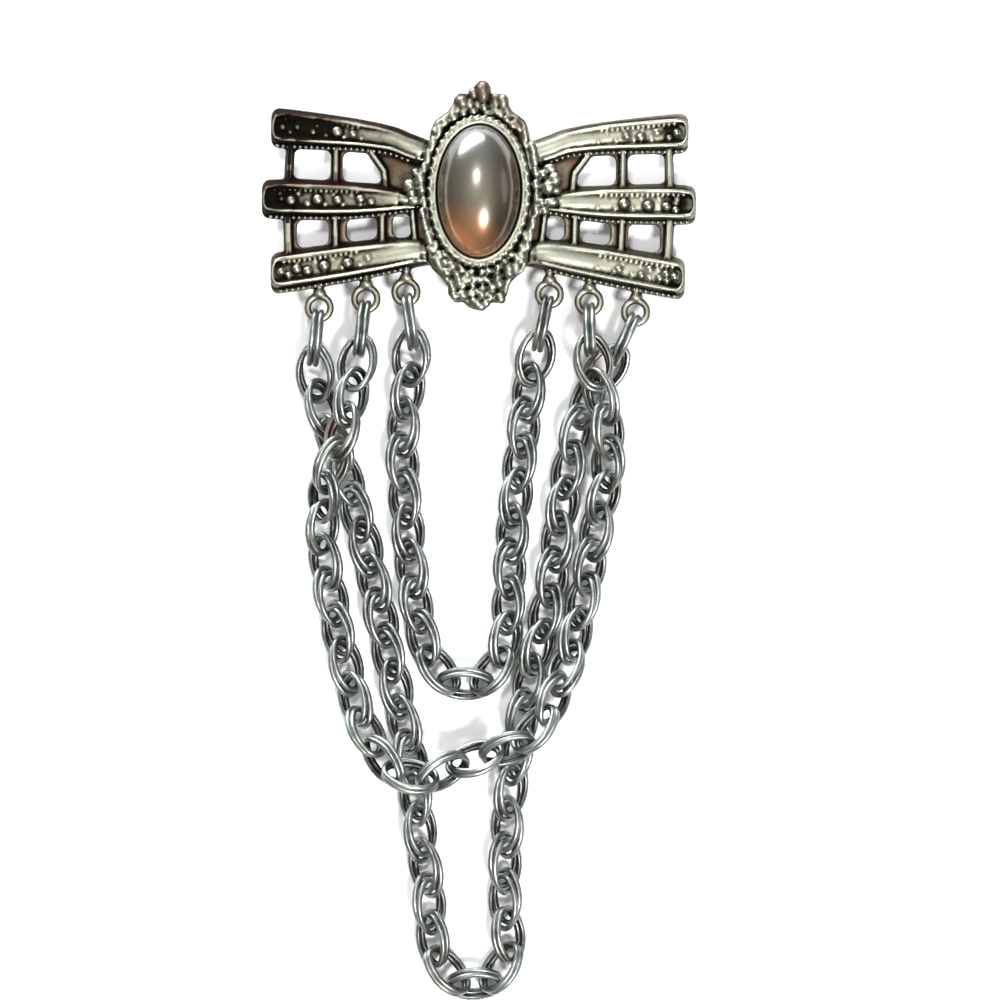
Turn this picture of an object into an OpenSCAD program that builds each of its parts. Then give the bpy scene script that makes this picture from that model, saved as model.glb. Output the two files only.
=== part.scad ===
/* [Brooch] */
// Height of the bow's middle above the centre of the whole jewel
bow_y = 41.9; // [41:0.1:43]
// Turn of the bow as it lies, clockwise seen from the front
bow_turn = 0.8; // [0:0.1:3]
// Height of the bow's back above the surface that the jewel lies on
back_z = 3.1; // [3:0.1:3.6]
// Height of a rib's rims over the bow's back
rib_height = 2.3; // [1.8:0.1:2.6]
// Thickness of the plate that joins the two wings
plate_thick = 1.0; // [0.8:0.1:1.2]

/* [Pearl] */
// Width of the pearl cabochon
pearl_w = 10.1; // [9.8:0.1:10.3]
// Length of the pearl cabochon
pearl_l = 16.0; // [15.6:0.1:16.2]
// Height of the dome above its girdle
pearl_h = 4.4; // [3.5:0.1:5]

/* [Chains] */
// Diameter of the link wire
wire_d = 0.62; // [0.56:0.02:0.64]
// Length of one oval ring over its wire
ring_len = 7.0; // [6.8:0.1:7.2]
// Width of one oval ring over its wire
ring_w = 4.8; // [4.6:0.1:5]
// Distance from one pair of rings to the next along the chain
pitch = 4.3; // [4:0.05:4.4]
// Distance between the middles of the two wires of a pair
pair_gap = 0.74; // [0.72:0.01:0.78]
// How far the two rings of a pair are shifted along the chain
stagger = 0.8; // [0:0.1:0.9]

/* [Pin] */
// Length of the bar pin behind the bow
pin_len = 31; // [28:0.5:32]
// Diameter of the pin's stem
stem_d = 0.8; // [0.7:0.05:0.9]

/* [Hidden] */

// Clearance between neighbouring pieces
gap = 0.08;
// Sides of the small beads and of the leaves
bead_fn = 8;
leaf_fn = 6;

// One rib of a wing by rows from the middle outwards: x, upper edge, lower edge, share of the rib's height
X = 0;
UPPER = 1;
LOWER = 2;
RISE = 3;
TOP_RIB = [
    [5.2, 6.0, 3.4, 0.80],
    [6.6, 6.3, 3.0, 0.92],
    [8.8, 7.1, 3.6, 1.00],
    [10.8, 7.9, 4.3, 1.00],
    [14.4, 8.6, 4.7, 1.00],
    [18.0, 9.1, 4.8, 1.00],
    [22.0, 9.6, 4.9, 0.96],
    [24.2, 9.8, 5.0, 0.88],
];
MIDDLE_RIB = [
    [5.6, -0.2, -2.2, 0.80],
    [7.0, -0.2, -2.3, 0.90],
    [8.8, 0.0, -2.5, 0.96],
    [10.8, 0.5, -2.9, 1.00],
    [14.4, 1.0, -3.4, 1.00],
    [18.0, 1.2, -3.6, 1.00],
    [22.5, 1.3, -3.6, 0.96],
    [25.2, 1.2, -3.5, 0.88],
];
BOTTOM_RIB = [
    [5.2, -6.2, -8.8, 0.80],
    [6.6, -5.8, -8.9, 0.90],
    [8.4, -5.5, -9.4, 0.98],
    [10.8, -5.7, -10.0, 1.00],
    [14.4, -6.1, -10.8, 1.00],
    [18.0, -6.6, -11.5, 1.00],
    [22.0, -7.2, -12.2, 0.96],
    [24.0, -7.5, -12.5, 0.88],
];
RIBS = [TOP_RIB, MIDDLE_RIB, BOTTOM_RIB];
// The rounded outer end of a rib by rows: how far out, share of the width, share of the height
END_CAP = [[0.45, 0.93, 0.93], [0.75, 0.78, 0.72], [0.88, 0.60, 0.40]];
// Section across a rib: share of the width from its lower edge, share of the height where the rib is a trough
// between two rims, share of the height nearer the middle, where it is plain and domed
RIB_SECTION = [
    [0.00, 0.00, 0.00], [0.00, 0.40, 0.40], [0.11, 0.52, 0.52], [0.14, 0.84, 0.84], [0.20, 1.00, 0.96],
    [0.27, 0.88, 0.80], [0.31, 0.64, 0.86], [0.52, 0.62, 1.04], [0.73, 0.68, 0.94], [0.76, 0.88, 0.90],
    [0.82, 0.93, 0.80], [0.88, 0.78, 0.68], [1.00, 0.36, 0.36], [1.00, 0.00, 0.00],
];
// The x between which a rib changes from plain to a trough
TROUGH = [9.0, 12.6];
// Even steps along a rib between its first row and its last
RIB_STEPS = 10;
// Granules on the floor of a rib: first x, last x, how many
GRANULES = [12.4, 23.6, 6];
// Diameter of a granule, and the place of its middle across the rib: share of the width, share of the height
granule_d = 1.1;
GRANULE_PLACE = [0.52, 0.64, 0.64];

// Cross bars by rows: x and y at the upper end, x and y at the lower end, width
BARS = [
    [22.7, 5.4, 22.9, 0.8, 1.0],
    [17.2, 5.3, 17.2, 0.8, 0.9],
    [13.0, 4.6, 11.4, 2.4, 0.9],
    [11.4, 2.4, 11.2, 0.2, 0.9],
    [22.9, -3.2, 22.7, -7.6, 1.1],
    [17.2, -3.2, 17.1, -6.9, 0.9],
    [11.6, -2.6, 11.5, -6.2, 0.9],
    [8.0, -2.1, 7.6, -5.8, 0.8],
];
// Height of a cross bar, and its widths at the back and on its ridge as shares of the width in the table
bar_height = 1.5;
BAR_BACK = 1.25;
BAR_RIDGE = 0.6;
// The pierced web between the ribs: its thickness, its outline, and the corners of its openings
web_thick = 0.8;
WEB = [
    [4.8, 4.4], [8.8, 5.2], [14.4, 6.4], [22.6, 7.0], [23.3, 5.2], [23.1, 3.0], [23.5, 1.0], [23.5, -3.3],
    [23.1, -5.4], [23.3, -7.8], [22.6, -9.4], [14.4, -8.2], [8.4, -7.4], [4.8, -7.2],
];
OPENINGS = [
    [[11.6, 0.9], [16.4, 1.1], [16.4, 4.7], [13.4, 4.5], [11.7, 2.9]],
    [[17.9, 1.2], [22.4, 1.4], [22.3, 4.9], [17.8, 4.8]],
    [[8.1, -2.6], [10.3, -2.8], [10.3, -5.6], [8.1, -5.5]],
    [[12.2, -3.0], [15.8, -3.4], [15.8, -6.2], [12.2, -5.7]],
    [[18.0, -3.5], [21.8, -3.6], [21.8, -7.0], [18.0, -6.5]],
];
opening_r = 0.8;
// The plate that joins the wings: half its width and half its height
JOINING_PLATE = [6.9, 10];

// Chain loops under the bottom rib: x and y of the middle, y of the rib's edge above it
LOOPS = [[8.6, -12.1, -9.3], [13.4, -12.95, -10.4], [19.0, -14.1, -11.5]];
// A loop's outer diameter, its wire, the height of its middle over the bow's back
loop_d = 3.4;
loop_wire = 0.6;
loop_z = 0.7;
// The lug between a loop and its rib: diameters at the loop and at the rib, depth into the rib
LUG = [0.9, 1.32];
lug_depth = 0.5;

// Outline of the setting's right half, from the top finial's tip to the bottom one's: x, y
SETTING_OUTLINE = [
    [0.0, 13.4], [0.7, 12.7], [1.1, 11.8], [1.7, 11.7], [2.5, 11.8], [3.1, 11.2], [3.4, 9.8],
    [4.4, 9.2], [5.4, 8.4], [5.9, 7.2], [6.1, 5.4], [6.5, 3.1], [7.5, 1.9], [7.7, -0.5], [6.7, -2.1], [6.5, -3.4],
    [6.2, -6.2], [6.0, -8.2], [5.5, -9.3], [4.4, -10.3], [3.6, -11.2], [3.5, -12.4],
    [2.7, -13.3], [1.7, -13.2], [1.1, -13.8], [0.0, -14.2],
];
// The raised rim of the setting: distance from the outline, width, height over the plate
rim_inset = 0.12;
rim_w = 0.6;
rim_height = 0.4;
// The setting's plate: height of its back over the bow's back, thickness
setting_base = plate_thick + gap;
setting_thick = 0.9;
// The bezel wall round the pearl: thickness, height over the plate, depth of its foot in the plate
bezel_wall = 0.35;
bezel_height = 1.3;
bezel_foot = 0.3;
// The rope round the bezel: diameter, height of its middle over the plate
rope_d = 0.85;
rope_z = 1.0;
// How far the rope's middle lies outside the bezel wall, and the angles of its section's points
rope_out = 0.25;
ROPE_ANGLES = [-80, -30, 20, 70, 120];
// Twists in the whole rope, sections along it, and how far its strands stand out as a share of its radius
rope_twists = 22;
rope_steps = 66;
rope_relief = 0.13;
// Beads and scroll ends on the setting's right half: x, y, diameter
SETTING_BEADS = [
    [0.0, 11.4, 1.1], [0.0, 12.6, 0.9], [2.5, 11.0, 1.2], [1.4, 10.3, 0.9], [3.0, 9.7, 0.8], [4.3, 8.4, 1.0],
    [5.4, 7.2, 0.9], [0.0, -10.4, 0.9], [1.2, -10.6, 0.9], [3.7, -9.7, 1.5], [2.2, -11.0, 0.9],
    [2.7, -12.5, 1.3], [1.2, -12.2, 0.8], [0.0, -12.0, 1.0], [0.0, -13.4, 1.3], [5.2, -8.2, 0.9],
];
// Side florets: x, y, diameter
FLORETS = [[8.3, 0.6, 2.0], [7.6, 2.2, 1.2], [7.5, -1.2, 1.2]];
// Leaves on the setting's right half: x and y of the broad end, x and y of the tip, width
LEAVES = [
    [2.0, 9.6, 1.0, 11.6, 1.4],
    [3.4, 9.2, 2.8, 10.9, 1.2],
    [5.5, 5.6, 4.7, 7.7, 1.1],
    [5.5, -6.4, 5.0, -8.4, 1.1],
    [4.6, -9.0, 3.1, -11.6, 1.3],
    [2.4, -10.2, 1.6, -12.4, 1.4],
];
// Heights of the middles of the leaves and the beads over the setting's plate
leaf_z = 0.11;
bead_z = 0.22;
// Each bead or leaf lies a hair higher than the last, so that no two have faces in one plane
lift = 0.007;
BOSSES = concat(SETTING_BEADS, FLORETS);

// Height of the pearl's flat back over the bow's back, and of the straight girdle under its dome
pearl_z = setting_base + setting_thick + gap;
girdle = 0.6;
// Facets round the pearl, and rows of them up the dome
PEARL_SIDES = 40;
PEARL_ROWS = 7;

// The bar pin's plate: width, thickness, place under the bow's middle
pin_w = 3.6;
pin_thick = 0.7;
pin_y = -1.2;
// Height of the stem's middle over the surface, which is also the radius of the hinge and the catch
stem_z = 1.25;
// Distance of the hinge's and the catch's middles from the pin's ends
pin_end = 1.6;
// The hinge and the catch: inset from the plate's long edges, length of the catch, bore of the catch
hinge_inset = 0.6;
catch_len = 2.2;
catch_bore = 1.3;
// Length of stem beyond the catch
stem_past = 1.6;
// The posts that carry the catch and hold the stem in it: width
post_w = 1.0;
key_w = 0.6;

// Heights of a chain's middle line: lying on the surface, and over another chain
lie_z = 2.12;
over_z = 6.5;
// How far a chain's middle line starts from the middle of its loop
hook = 1.5;
// Routes of the chains between their loops, from left to right: x, y, z of the middle line
INNER_ROUTE = [
    [-8.0, 24.4, 3.1], [-8.3, 20.0, 2.3], [-9.0, 15.0, lie_z], [-9.3, 10.0, lie_z],
    [-8.9, 5.0, lie_z], [-8.3, -1.0, lie_z], [-7.7, -7.0, lie_z], [-6.6, -12.4, lie_z],
    [-4.8, -16.2, lie_z], [-1.4, -17.7, lie_z], [2.2, -15.6, lie_z], [3.4, -10.6, lie_z],
    [3.6, -4.0, lie_z], [4.1, 2.0, lie_z], [4.7, 8.0, lie_z], [5.4, 14.0, lie_z],
    [6.2, 19.5, 2.3], [7.3, 24.6, 3.1],
];
MIDDLE_ROUTE = [
    [-14.3, 23.6, 4.3], [-15.1, 18.0, 5.6], [-16.4, 12.6, over_z], [-18.1, 8.0, 6.4],
    [-18.9, 3.6, 3.6], [-18.7, -1.0, lie_z], [-17.4, -9.0, lie_z], [-15.6, -16.6, lie_z],
    [-13.4, -23.4, 4.6], [-10.9, -27.0, over_z], [-7.6, -28.7, over_z], [-4.8, -27.8, over_z],
    [-1.4, -26.0, 5.4], [2.6, -25.2, 6.3], [6.2, -23.4, over_z], [8.8, -19.2, 5.9],
    [11.0, -13.8, 3.4], [12.3, -8.0, lie_z], [13.7, -1.0, lie_z], [14.9, 5.0, 2.4],
    [15.7, 11.0, 4.8], [14.9, 16.4, over_z], [13.8, 20.4, over_z], [13.2, 24.2, 5.6],
];
LONG_ROUTE = [
    [-19.9, 22.4, 3.0], [-19.3, 17.0, 2.3], [-17.2, 11.4, lie_z], [-15.2, 5.0, lie_z],
    [-12.9, -3.4, lie_z], [-11.3, -12.0, lie_z], [-9.4, -20.0, lie_z], [-8.0, -27.6, lie_z],
    [-7.1, -35.0, lie_z], [-6.0, -42.0, lie_z], [-5.4, -49.7, lie_z], [-0.7, -54.1, lie_z],
    [3.7, -50.0, lie_z], [3.0, -43.2, lie_z], [3.4, -34.0, lie_z], [4.4, -25.8, lie_z],
    [5.9, -17.6, lie_z], [7.9, -9.4, lie_z], [9.5, 0.2, lie_z], [10.9, 9.8, lie_z],
    [12.7, 16.4, lie_z], [15.2, 21.0, 2.3], [17.4, 23.4, 2.9],
];

function unit(v) = v / norm(v);

// A point on the smooth curve through rows of any length, at t from 0 to the last row's number
function at(rows, t) =
    let (
        last = len(rows) - 1,
        i = min(floor(t), last - 1),
        u = t - i,
        a = rows[max(i - 1, 0)],
        b = rows[i],
        c = rows[i + 1],
        d = rows[min(i + 2, last)]
    )
    0.5 * (2 * b + (c - a) * u + (2 * a - 5 * b + 4 * c - d) * u * u + (3 * b - a - 3 * c + d) * u * u * u);

// Faces of a closed tube through rings of points, each ring with n points
function tube_faces(rings, n) = [
    for (i = [0:rings - 2], j = [0:n - 1])
        for (f = [[0, 1, 2], [0, 2, 3]])
            let (q = [i * n + j, i * n + (j + 1) % n, (i + 1) * n + (j + 1) % n, (i + 1) * n + j])
            [q[f[0]], q[f[1]], q[f[2]]]
];
function loop_faces(rings, n) = concat(tube_faces(rings, n), [
    for (j = [0:n - 1])
        for (f = [[0, 1, 2], [0, 2, 3]])
            let (
                i = rings - 1,
                q = [i * n + j, i * n + (j + 1) % n, (j + 1) % n, j]
            )
            [q[f[0]], q[f[1]], q[f[2]]]
]);

// A round bead with its facets turned by an odd angle, so that they line up with nothing beside it
module bead(d, n, turn) {
    rotate([turn / 2, turn / 3, turn])
        sphere(d = d, $fn = n);
}

// The rows of a rib at even steps, with its rounded outer end
function rib_rows(rib) =
    let (
        steps = [for (i = [0:RIB_STEPS]) at(rib, i * (len(rib) - 1) / RIB_STEPS)],
        end = steps[RIB_STEPS],
        mid = (end[UPPER] + end[LOWER]) / 2,
        half = (end[UPPER] - end[LOWER]) / 2
    )
    concat(steps, [
        for (c = END_CAP) [end[X] + c[0], mid + half * c[1], mid - half * c[1], end[RISE] * c[2]]
    ]);
function rib_point(row, s) =
    let (share = min(max((row[X] - TROUGH[0]) / (TROUGH[1] - TROUGH[0]), 0), 1))
    [
        row[X],
        row[LOWER] + (row[UPPER] - row[LOWER]) * s[0],
        rib_height * row[RISE] * (s[1] * share + s[2] * (1 - share)),
    ];

module rib_solid(rib) {
    rows = rib_rows(rib);
    n = len(RIB_SECTION);
    count = len(rows);
    polyhedron(
        points = [for (row = rows, s = RIB_SECTION) rib_point(row, s)],
        faces = concat(
            tube_faces(count, n),
            [[for (j = [n - 1:-1:0]) j]],
            [[for (j = [0:n - 1]) (count - 1) * n + j]]
        ),
        convexity = 6
    );
}

// Share of the way along a rib at which it reaches x, found by halving
function find(rib, x, lo, hi, n = 12) =
    n == 0 ? (lo + hi) / 2 :
    at(rib, (lo + hi) / 2)[X] < x ? find(rib, x, (lo + hi) / 2, hi, n - 1) : find(rib, x, lo, (lo + hi) / 2, n - 1);

module granules(rib) {
    step = (GRANULES[1] - GRANULES[0]) / (GRANULES[2] - 1);
    for (i = [0:GRANULES[2] - 1]) {
        row = at(rib, find(rib, GRANULES[0] + i * step, 0, len(rib) - 1));
        translate(rib_point(row, GRANULE_PLACE))
            bead(granule_d, bead_fn, 11);
    }
}

module bar(b) {
    hull() {
        translate([b[0], b[1], 0])
            cylinder(d1 = b[4] * BAR_BACK, d2 = b[4] * BAR_RIDGE, h = bar_height, $fn = 8);
        translate([b[2], b[3], 0])
            cylinder(d1 = b[4] * BAR_BACK, d2 = b[4] * BAR_RIDGE, h = bar_height, $fn = 8);
    }
}

module chain_loop(place) {
    translate([place[0], place[1], loop_z])
        rotate_extrude($fn = 16)
            translate([(loop_d - loop_wire) / 2, 0])
                circle(d = loop_wire, $fn = 6);
    hull() {
        translate([place[0], place[1] + (loop_d - loop_wire) / 2, loop_z])
            sphere(d = LUG[0], $fn = 8);
        translate([place[0], place[2] + lug_depth, loop_z])
            sphere(d = LUG[1], $fn = 8);
    }
}

module web() {
    linear_extrude(web_thick)
        difference() {
            polygon(WEB);
            for (o = OPENINGS)
                offset(r = opening_r, $fn = 16)
                    offset(delta = -opening_r)
                        polygon(o);
        }
}

module wing() {
    web();
    for (rib = RIBS) {
        rib_solid(rib);
        granules(rib);
    }
    for (b = BARS)
        bar(b);
    for (place = LOOPS)
        chain_loop(place);
}

module setting_area(extra) {
    offset(delta = extra)
        polygon(concat(
            SETTING_OUTLINE,
            [for (i = [len(SETTING_OUTLINE) - 2:-1:1]) [-SETTING_OUTLINE[i][0], SETTING_OUTLINE[i][1]]]
        ));
    for (side = [1, -1], f = FLORETS)
        translate([side * f[0], f[1]])
            circle(d = f[2] + 2 * extra, $fn = 12);
}

module in_bow_place() {
    translate([0, bow_y, back_z])
        rotate([0, 0, -bow_turn])
            children();
}

module bow() {
    color("silver")
        in_bow_place()
            union() {
                difference() {
                    for (side = [0, 1])
                        mirror([side, 0, 0])
                            wing();
                    translate([0, 0, plate_thick])
                        linear_extrude(rib_height)
                            setting_area(gap);
                }
                linear_extrude(plate_thick)
                    scale(JOINING_PLATE)
                        circle(r = 1, $fn = 40);
            }
}

// A section of the bezel at angle a round the pearl: distance from the pearl's hole, height over the plate.
// Its outer part is a rope of two twisted strands
function bezel_section(a) = concat(
    [[0, -bezel_foot], [bezel_wall, -bezel_foot]],
    [
        for (b = ROPE_ANGLES)
            let (r = rope_d / 2 * (1 + rope_relief * cos(2 * b + a * rope_twists)))
            [bezel_wall + rope_out + r * cos(b), rope_z + r * sin(b)]
    ],
    [[0, bezel_height]]
);

module bezel() {
    rx = pearl_w / 2 + gap;
    ry = pearl_l / 2 + gap;
    points = [
        for (i = [0:rope_steps - 1])
            let (a = i * 360 / rope_steps, out = unit([ry * cos(a), rx * sin(a)]))
            for (p = bezel_section(a))
                [rx * cos(a) + out[0] * p[0], ry * sin(a) + out[1] * p[0], p[1]]
    ];
    polyhedron(points = points, faces = loop_faces(rope_steps, len(bezel_section(0))), convexity = 8);
}

module leaf(l, turn) {
    hull() {
        translate([l[0], l[1], 0])
            bead(l[4], leaf_fn, turn);
        translate([l[2], l[3], 0])
            bead(l[4] * 0.45, leaf_fn, turn);
    }
}

module pearl_setting() {
    color("silver")
        in_bow_place()
            translate([0, 0, setting_base]) {
                linear_extrude(setting_thick)
                    setting_area(0);
                linear_extrude(setting_thick + rim_height)
                    difference() {
                        setting_area(-rim_inset);
                        setting_area(-rim_inset - rim_w);
                    }
                translate([0, 0, setting_thick])
                    bezel();
                for (side = [0, 1])
                    mirror([side, 0, 0])
                        translate([0, 0, setting_thick]) {
                            for (i = [0:len(BOSSES) - 1])
                                if (BOSSES[i][0] > 0 || side == 0)
                                    translate([BOSSES[i][0], BOSSES[i][1], bead_z + i * lift])
                                        bead(BOSSES[i][2], bead_fn, 7 + 5 * i);
                            for (i = [0:len(LEAVES) - 1])
                                translate([0, 0, leaf_z + i * lift])
                                    leaf(LEAVES[i], 7 + 5 * i);
                        }
            }
}

module pearl() {
    n = PEARL_SIDES;
    rows = concat([[1, 0]], [for (i = [0:PEARL_ROWS - 1]) let (b = i * 90 / PEARL_ROWS) [cos(b), girdle + pearl_h * sin(b)]]);
    top = len(rows) * n;
    points = concat(
        [
            for (row = rows, j = [0:n - 1])
                let (a = j * 360 / n)
                [row[0] * pearl_w / 2 * cos(a), row[0] * pearl_l / 2 * sin(a), row[1]]
        ],
        [[0, 0, girdle + pearl_h]]
    );
    color("rosybrown")
        in_bow_place()
            translate([0, 0, pearl_z])
                polyhedron(
                    points = points,
                    faces = concat(
                        [for (f = tube_faces(len(rows), n)) [f[2], f[1], f[0]]],
                        [[for (j = [0:n - 1]) j]],
                        [for (j = [0:n - 1]) [top, top - n + (j + 1) % n, top - n + j]]
                    ),
                    convexity = 2
                );
}

module bar_pin() {
    hinge_x = pin_len / 2 - pin_end;
    hinge_w = pin_w - 2 * hinge_inset;
    top = back_z - gap;
    plate_z = top - pin_thick;
    color("silver")
        translate([0, bow_y, 0])
            rotate([0, 0, -bow_turn])
                translate([0, pin_y, 0]) {
                    translate([-pin_len / 2, -pin_w / 2, plate_z])
                        cube([pin_len, pin_w, pin_thick]);
                    translate([-hinge_x, hinge_w / 2, stem_z])
                        rotate([90, 0, 0])
                            cylinder(r = stem_z, h = hinge_w, $fn = 24);
                    translate([-hinge_x - stem_z, -hinge_w / 2, stem_z])
                        cube([2 * stem_z, hinge_w, plate_z - stem_z + 0.1]);
                    translate([-hinge_x, 0, stem_z])
                        rotate([0, 90, 0])
                            cylinder(d = stem_d, h = 2 * hinge_x + stem_past, $fn = 16);
                    translate([hinge_x - catch_len / 2, 0, stem_z])
                        rotate([0, 90, 0])
                            difference() {
                                cylinder(r = stem_z, h = catch_len, $fn = 24);
                                translate([0, 0, -1])
                                    cylinder(d = catch_bore, h = catch_len + 2, $fn = 24);
                            }
                    translate([hinge_x - catch_len / 2, -post_w / 2, stem_z + (stem_z + catch_bore / 2) / 2])
                        cube([catch_len, post_w, plate_z - stem_z - (stem_z + catch_bore / 2) / 2 + 0.1]);
                    translate([hinge_x - key_w / 2, -key_w / 2, stem_z - (stem_z + catch_bore / 2) / 2])
                        cube([key_w, key_w, stem_z + catch_bore / 2]);
                }
}

// Lengths along a route, sampled finely, and the places of the joints at even steps near the pitch
ROUTE_FINE = 12;
function fine(route) = [for (i = [0:(len(route) - 1) * ROUTE_FINE]) at(route, i / ROUTE_FINE)];
function running(points, i = 0, total = 0, out = []) =
    i == len(points) ? out :
    let (next = total + (i == 0 ? 0 : norm(points[i] - points[i - 1])))
    running(points, i + 1, next, concat(out, [next]));
function place_at(points, lengths, s, i = 1) =
    i >= len(points) - 1 || lengths[i] >= s
        ? points[i - 1] + (points[i] - points[i - 1]) * (s - lengths[i - 1]) / (lengths[i] - lengths[i - 1])
        : place_at(points, lengths, s, i + 1);
function joints(route) =
    let (
        points = fine(route),
        lengths = running(points),
        total = lengths[len(lengths) - 1],
        count = 2 * floor(total / pitch / 2) + 1
    )
    [for (k = [0:count]) place_at(points, lengths, total * k / count)];

// The middle of a chain loop as the bow lies, and a whole route from loop to loop
function loop_middle(side, i) =
    let (x = side * LOOPS[i][0], y = LOOPS[i][1])
    [x * cos(bow_turn) + y * sin(bow_turn), y * cos(bow_turn) - x * sin(bow_turn) + bow_y, back_z + loop_z];
function hook_point(loop, next) =
    loop + unit([next[0] - loop[0], next[1] - loop[1], 0]) * hook;
function whole_route(i, route) = concat(
    [hook_point(loop_middle(-1, i), route[0])],
    route,
    [hook_point(loop_middle(1, i), route[len(route) - 1])]
);

// Roll of link k: upright in its loop at either end, then easing to leaning half over either way
ROLL_STEP = 22.5;
function roll(k, count) =
    max(45 - ROLL_STEP * (count - 1 - k), 0) * ((count - 1) % 2 == 0 ? -1 : 1) - max(45 - ROLL_STEP * k, 0);

// The sharpest turn between link k and its neighbours
FREE_TURN = 45;
function turn_at(ways, k) = max(
    acos(ways[k] * ways[max(k - 1, 0)] * 0.9999),
    acos(ways[k] * ways[min(k + 1, len(ways) - 1)] * 0.9999)
);

// The frame of each ring of a chain: middle, length direction, width direction, normal
function ring_frames(route) =
    let (
        j = joints(route),
        count = len(j) - 1,
        ways = [for (k = [0:count - 1]) unit(j[k + 1] - j[k])]
    )
    [
        for (k = [0:count - 1], half = [-1, 1])
            let (
                t = ways[k],
                side = unit(cross([0, 0, 1], t)),
                up = cross(t, side),
                r = roll(k, count),
                a = 45 + r + 90 * (k % 2),
                n = side * cos(a) + up * sin(a),
                w = cross(n, t),
                together = min(turn_at(ways, k) / FREE_TURN, 1),
                slide = stagger / 2 * cos(2 * r) * (1 - together) * (k % 4 < 2 ? 1 : -1)
            )
            [(j[k] + j[k + 1]) / 2 + n * half * pair_gap / 2 + t * half * slide, t, w, n]
    ];

// A ring's middle line is an oval of four arcs. The lines between the arcs' centres make 3-4-5 triangles,
// so the arcs end on exactly the same planes
half_len = (ring_len - wire_d) / 2;
arc_unit = (ring_len - ring_w) / 4;
end_x = 3 * arc_unit;
side_y = 4 * arc_unit;
end_r = half_len - end_x;
side_r = end_r + 5 * arc_unit;

module wire_circle(r) {
    rotate_extrude($fn = 48)
        translate([r, 0])
            circle(d = wire_d, $fn = 16);
}

// The stretch of a wire circle between the two lines, through its middle, that a 3-4-5 triangle gives
module wedge(points) {
    translate([0, 0, -wire_d])
        linear_extrude(2 * wire_d)
            polygon(points);
}

module oval_ring() {
    for (turn = [0, 180])
        rotate([0, 0, turn]) {
            translate([end_x, 0, 0])
                intersection() {
                    wire_circle(end_r);
                    wedge([[0, 0], [3, -4], [6, 0], [3, 4]]);
                }
            translate([0, -side_y, 0])
                intersection() {
                    wire_circle(side_r);
                    wedge([[0, 0], [6, 8], [-6, 8]]);
                }
        }
}

module chain(route) {
    for (f = ring_frames(route))
        multmatrix([
            [f[1][0], f[2][0], f[3][0], f[0][0]],
            [f[1][1], f[2][1], f[3][1], f[0][1]],
            [f[1][2], f[2][2], f[3][2], f[0][2]],
            [0, 0, 0, 1],
        ])
            oval_ring();
}

module inner_chain() {
    color("gainsboro")
        chain(whole_route(0, INNER_ROUTE));
}

module middle_chain() {
    color("gainsboro")
        chain(whole_route(1, MIDDLE_ROUTE));
}

module long_chain() {
    color("gainsboro")
        chain(whole_route(2, LONG_ROUTE));
}

bow();
pearl_setting();
pearl();
bar_pin();
inner_chain();
middle_chain();
long_chain();
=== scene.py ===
# %% [markdown]
# # A bow brooch with a pearl cabochon and three swag chains
#
# The brooch lies on its back on a pale table, and we look straight down on it. Its solids come packed and
# finished. This notebook dresses them: it rounds the cast metal, adds the small relief that a mould gives, makes
# smooth rings for the chains, and mixes the finishes of old silver and imitation pearl.

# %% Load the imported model
import math

import bmesh
import bpy
import numpy as np
from mathutils import Matrix, Vector


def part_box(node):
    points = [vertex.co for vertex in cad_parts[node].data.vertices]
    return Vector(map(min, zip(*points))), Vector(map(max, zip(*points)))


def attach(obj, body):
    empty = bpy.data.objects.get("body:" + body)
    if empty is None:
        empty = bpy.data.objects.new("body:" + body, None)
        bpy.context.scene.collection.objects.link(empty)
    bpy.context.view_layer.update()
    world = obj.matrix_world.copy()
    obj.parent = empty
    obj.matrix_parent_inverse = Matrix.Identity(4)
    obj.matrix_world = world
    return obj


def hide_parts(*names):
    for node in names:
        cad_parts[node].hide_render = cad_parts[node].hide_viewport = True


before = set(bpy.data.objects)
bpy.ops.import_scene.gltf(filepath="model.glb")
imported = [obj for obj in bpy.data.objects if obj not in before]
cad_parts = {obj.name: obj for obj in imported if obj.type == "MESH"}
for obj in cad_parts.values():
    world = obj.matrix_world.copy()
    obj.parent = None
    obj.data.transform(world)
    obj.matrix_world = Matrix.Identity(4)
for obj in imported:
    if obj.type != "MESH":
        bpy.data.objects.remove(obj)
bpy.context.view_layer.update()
print("nodes:", ", ".join(sorted(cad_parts)))

# %% [markdown]
# ## Units and place
#
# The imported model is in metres. A chain wire is 0.6 mm thick, so it is easier to think in millimetres. Each new
# piece is shaped in millimetres, and one matrix takes it to its place at the end. The parts of the brooch itself
# have their origin at the middle of the bow's back, and the bow lies turned by a little under one degree.

# %% The bow's own place
BOW_MIDDLE = (0.0, 41.9, 3.1)
BOW_TURN = 0.8
MM = 1000  # in a metre
TO_METRES = Matrix.Scale(1 / MM, 4)
BOW_PLACE = TO_METRES @ Matrix.Translation(BOW_MIDDLE) @ Matrix.Rotation(math.radians(-BOW_TURN), 4, "Z")

# %% [markdown]
# ## Small helpers for nodes
#
# A material is a chain of nodes. `add` makes one node and fills its sockets, and `join` draws the noodles. The
# other helpers return the socket that the next node reads. The patterns read Object coordinates, and a Mapping node
# turns metres into millimetres, so a noise scale of 3 means three bumps to a millimetre.


# %% Node helpers
def add(tree, kind, values=None, **settings):
    node = tree.nodes.new("ShaderNode" + kind)
    for name, value in settings.items():
        setattr(node, name, value)
    for name, value in (values or {}).items():
        node.inputs[name].default_value = value
    return node


def join(tree, *pairs):
    for source, target in pairs:
        tree.links.new(source, target)


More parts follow.
